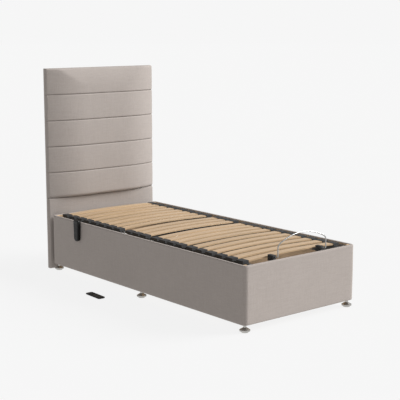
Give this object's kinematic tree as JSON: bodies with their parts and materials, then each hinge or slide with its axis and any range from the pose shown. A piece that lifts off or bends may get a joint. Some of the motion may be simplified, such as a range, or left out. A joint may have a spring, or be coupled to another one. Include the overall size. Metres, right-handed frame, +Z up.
{
  "type": "adjustable bed base",
  "caption": "Single adjustable bed base: fabric-covered box on metal glides, hinged slatted deck with twin drive, retainer bar, tall channelled headboard and handsets.",
  "frame": {"origin": "on the floor, under the middle of the box that holds the whole row; the bed's own middle is at x 0.101, y -0.031", "axes": "+X across the bed to its left as seen from the head, +Y along the bed to the head end, +Z up"},
  "size_m": [1.108, 2.067, 1.4],
  "materials": {
    "timber": "planed plywood and softwood",
    "cover_fabric": "woven taupe upholstery",
    "pad_fabric": "woven taupe upholstery over foam",
    "glide_metal": "satin nickel grey",
    "frame_steel": "dark powder coat",
    "bare_steel": "bright zinc",
    "bar_steel": "plated wire",
    "beech": "clear lacquered bent beech",
    "holder_rubber": "matt moulded rubber",
    "nylon": "natural nylon",
    "drive_plastic": "fine textured dark grey",
    "motor_metal": "grey enamel",
    "nut_plastic": "natural acetal",
    "hand_shell": "fine textured black",
    "hand_front": "satin black",
    "button_rubber": "dark grey keys",
    "hook_plastic": "black"
  },
  "bodies": {
    "base": {"side_board_left": "timber", "side_board_right": "timber", "foot_end_board": "timber", "head_end_board": "timber", "corner_posts": "timber", "bottom_battens": "timber", "fabric_cover": "cover_fabric", "glides": "glide_metal", "side_rail_left": "frame_steel", "side_rail_right": "frame_steel", "cross_rails": "frame_steel", "bolts": "bare_steel", "hinge_brackets": "frame_steel", "hinge_bushes": "nylon", "stop_pads": "holder_rubber", "seat_frame": "frame_steel", "seat_slats": "beech", "seat_slat_holders": "holder_rubber", "drive_housing_lower": "drive_plastic", "drive_housing_upper": "drive_plastic", "drive_tube_caps": "drive_plastic", "drive_motors": "motor_metal", "mains_inlet": "drive_plastic", "headboard_panel": "pad_fabric", "headboard_lower_pad": "pad_fabric", "headboard_channels": "pad_fabric", "headboard_struts": "timber", "handset_hook": "hook_plastic"},
    "back": {"back_frame": "frame_steel", "back_torsion_tube": "bare_steel", "back_slats": "beech", "back_slat_holders": "holder_rubber"},
    "thigh": {"thigh_frame": "frame_steel", "thigh_torsion_tube": "bare_steel", "thigh_slats": "beech", "thigh_slat_holders": "holder_rubber"},
    "calf": {"calf_frame": "frame_steel", "calf_slats": "beech", "calf_slat_holders": "holder_rubber", "knee_pins": "bare_steel", "retainer_bar": "bar_steel", "bar_sockets": "holder_rubber"},
    "head_nut": {"head_drive_nut": "nut_plastic"},
    "foot_nut": {"foot_drive_nut": "nut_plastic"},
    "hung_handset": {"hung_handset_back": "hand_shell", "hung_handset_front": "hand_front"},
    "floor_handset": {"floor_handset_back": "hand_shell", "floor_handset_front": "hand_front"},
    "head_screw": {"head_spindle": "bare_steel"},
    "foot_screw": {"foot_spindle": "bare_steel"},
    "roller_left": {"end_roller_left": "nylon"},
    "roller_right": {"end_roller_right": "nylon"},
    "hung_key_1": {"hung_button_1": "button_rubber"},
    "hung_key_2": {"hung_button_2": "button_rubber"},
    "hung_key_3": {"hung_button_3": "button_rubber"},
    "hung_key_4": {"hung_button_4": "button_rubber"},
    "floor_key_1": {"floor_button_1": "button_rubber"},
    "floor_key_2": {"floor_button_2": "button_rubber"},
    "floor_key_3": {"floor_button_3": "button_rubber"},
    "floor_key_4": {"floor_button_4": "button_rubber"}
  },
  "joints": [
    {"name": "back_hinge", "type": "hinge", "parent": "base", "child": "back", "pos_m": [0.101, 0.219, 0.362], "axis": [1, 0, 0], "range_deg": [0, 65]},
    {"name": "thigh_hinge", "type": "hinge", "parent": "base", "child": "thigh", "pos_m": [0.101, -0.081, 0.362], "axis": [-1, 0, 0], "range_deg": [0, 40]},
    {"name": "calf_hinge", "type": "hinge", "parent": "thigh", "child": "calf", "pos_m": [0.101, -0.421, 0.362], "axis": [1, 0, 0], "range_deg": [0, 63.5]},
    {"name": "head_nut_slide", "type": "slide", "parent": "base", "child": "head_nut", "axis": [0, 1, 0], "range_m": [0, 0.1022]},
    {"name": "foot_nut_slide", "type": "slide", "parent": "base", "child": "foot_nut", "axis": [0, -1, 0], "range_m": [0, 0.0651]},
    {"name": "hung_handset_lift", "type": "slide", "parent": "base", "child": "hung_handset", "axis": [-1, 0, 0], "range_m": [0, 0.08]},
    {"name": "floor_handset_lift", "type": "slide", "parent": "base", "child": "floor_handset", "axis": [0, 0, 1], "range_m": [0, 0.3]},
    {"name": "head_spindle_turn", "type": "hinge", "parent": "base", "child": "head_screw", "pos_m": [0.101, 0.219, 0.24], "axis": [0, 1, 0], "continuous": true},
    {"name": "foot_spindle_turn", "type": "hinge", "parent": "base", "child": "foot_screw", "pos_m": [0.101, -0.081, 0.24], "axis": [0, 1, 0], "continuous": true},
    {"name": "end_roller_left_turn", "type": "hinge", "parent": "calf", "child": "roller_left", "pos_m": [-0.313, -0.971, 0.362], "axis": [1, 0, 0], "continuous": true},
    {"name": "end_roller_right_turn", "type": "hinge", "parent": "calf", "child": "roller_right", "pos_m": [0.515, -0.971, 0.362], "axis": [1, 0, 0], "continuous": true},
    {"name": "hung_button_1_press", "type": "slide", "parent": "hung_handset", "child": "hung_key_1", "axis": [1, 0, 0], "range_m": [0, 0.0008], "stiffness_N_per_m": 300},
    {"name": "hung_button_2_press", "type": "slide", "parent": "hung_handset", "child": "hung_key_2", "axis": [1, 0, 0], "range_m": [0, 0.0008], "stiffness_N_per_m": 300},
    {"name": "hung_button_3_press", "type": "slide", "parent": "hung_handset", "child": "hung_key_3", "axis": [1, 0, 0], "range_m": [0, 0.0008], "stiffness_N_per_m": 300},
    {"name": "hung_button_4_press", "type": "slide", "parent": "hung_handset", "child": "hung_key_4", "axis": [1, 0, 0], "range_m": [0, 0.0008], "stiffness_N_per_m": 300},
    {"name": "floor_button_1_press", "type": "slide", "parent": "floor_handset", "child": "floor_key_1", "axis": [0, 0, -1], "range_m": [0, 0.0008], "stiffness_N_per_m": 300},
    {"name": "floor_button_2_press", "type": "slide", "parent": "floor_handset", "child": "floor_key_2", "axis": [0, 0, -1], "range_m": [0, 0.0008], "stiffness_N_per_m": 300},
    {"name": "floor_button_3_press", "type": "slide", "parent": "floor_handset", "child": "floor_key_3", "axis": [0, 0, -1], "range_m": [0, 0.0008], "stiffness_N_per_m": 300},
    {"name": "floor_button_4_press", "type": "slide", "parent": "floor_handset", "child": "floor_key_4", "axis": [0, 0, -1], "range_m": [0, 0.0008], "stiffness_N_per_m": 300}
  ],
  "couplings": [
    {"joint": "calf_hinge", "follows": "thigh_hinge", "ratio": 1.5854},
    {"joint": "head_nut_slide", "follows": "back_hinge", "m_per_rad": 0.08998},
    {"joint": "foot_nut_slide", "follows": "thigh_hinge", "m_per_rad": 0.09308},
    {"joint": "head_spindle_turn", "follows": "back_hinge", "ratio": 47.113},
    {"joint": "foot_spindle_turn", "follows": "thigh_hinge", "ratio": -48.737}
  ]
}
